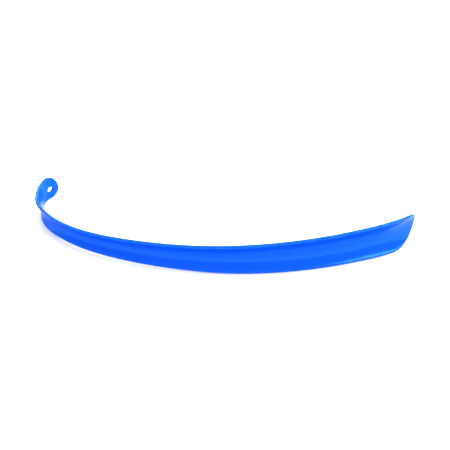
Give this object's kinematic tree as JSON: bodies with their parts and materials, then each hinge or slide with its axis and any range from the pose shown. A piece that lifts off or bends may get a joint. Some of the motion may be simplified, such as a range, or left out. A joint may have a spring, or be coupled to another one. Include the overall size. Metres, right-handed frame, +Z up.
{
  "type": "long shoehorn",
  "caption": "Long curved shoehorn: troughed blade and tapering shaft in one strip, curling into a hook that ends in a rounded tab with a hanging slot.",
  "frame": {"origin": "centre of the part's box in X and Y, on the surface it stands on", "axes": "+Z up, square to that surface: the part stands on its lower long edge. +X along its greatest length, from the hook to the blade. The belly of the arc faces -Y, the open side of the arc and the tab end face +Y"},
  "size_m": [0.42, 0.1092, 0.0433],
  "materials": {
    "shoehorn_plastic": "glossy, moulded in colour"
  },
  "bodies": {
    "root": {"shoehorn": "shoehorn_plastic"}
  },
  "joints": []
}
